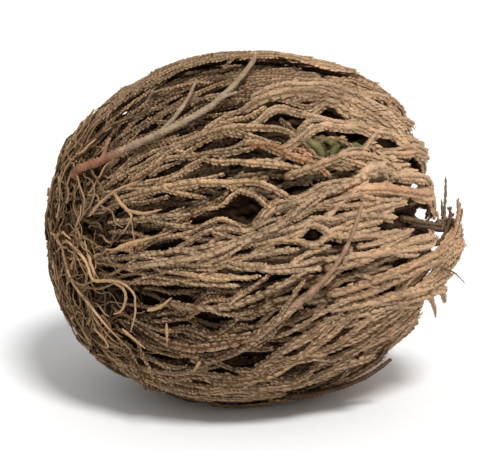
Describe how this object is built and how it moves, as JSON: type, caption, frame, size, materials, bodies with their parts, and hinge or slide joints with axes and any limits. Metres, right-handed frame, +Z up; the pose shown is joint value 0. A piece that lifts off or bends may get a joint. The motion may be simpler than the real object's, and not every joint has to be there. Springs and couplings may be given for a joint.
{
  "type": "rose of jericho",
  "caption": "Dried, closed resurrection plant: branched fronds curled into a ball round a short root crown, lying on its side on a small flat spot.",
  "frame": {"origin": "middle of the flat spot under the ball that it rests on", "axes": "+Z up from the surface, +X along the ball from its root end to its mouth, -Y the side the picture shows"},
  "size_m": [0.0914, 0.0797, 0.0748],
  "materials": {
    "outer_fronds": "dry and matt, scaly, tan to grey brown",
    "middle_fronds": "dry and matt, scaly, mid brown",
    "inner_fronds": "dry and matt, dark brown with some olive green",
    "heart_fronds": "dry and matt, olive brown",
    "loose_branches": "dry and matt, grey to reddish brown",
    "root_crown": "dry woody stem, dark brown, matt",
    "root_mat": "fine dry roots, brown, matt"
  },
  "bodies": {
    "root": {"outer_frond_01": "outer_fronds", "outer_frond_02": "outer_fronds", "outer_frond_03": "outer_fronds", "outer_frond_04": "outer_fronds", "outer_frond_05": "outer_fronds", "outer_frond_06": "outer_fronds", "outer_frond_07": "outer_fronds", "outer_frond_08": "outer_fronds", "outer_frond_09": "outer_fronds", "outer_frond_10": "outer_fronds", "outer_frond_11": "outer_fronds", "outer_frond_12": "outer_fronds", "outer_frond_13": "outer_fronds", "middle_frond_01": "middle_fronds", "middle_frond_02": "middle_fronds", "middle_frond_03": "middle_fronds", "middle_frond_04": "middle_fronds", "middle_frond_05": "middle_fronds", "middle_frond_06": "middle_fronds", "middle_frond_07": "middle_fronds", "middle_frond_08": "middle_fronds", "inner_frond_01": "inner_fronds", "inner_frond_02": "inner_fronds", "inner_frond_03": "inner_fronds", "inner_frond_04": "inner_fronds", "inner_frond_05": "inner_fronds", "inner_frond_06": "inner_fronds", "inner_frond_07": "inner_fronds", "inner_frond_08": "inner_fronds", "inner_frond_09": "inner_fronds", "inner_frond_10": "inner_fronds", "inner_frond_11": "inner_fronds", "inner_frond_12": "inner_fronds", "inner_frond_13": "inner_fronds", "heart_frond_01": "heart_fronds", "heart_frond_02": "heart_fronds", "heart_frond_03": "heart_fronds", "heart_frond_04": "heart_fronds", "heart_frond_05": "heart_fronds", "heart_frond_06": "heart_fronds", "crossing_branch": "loose_branches", "crossing_twig": "loose_branches", "loose_twig": "loose_branches", "root_crown": "root_crown", "root_mat": "root_mat"}
  },
  "joints": []
}
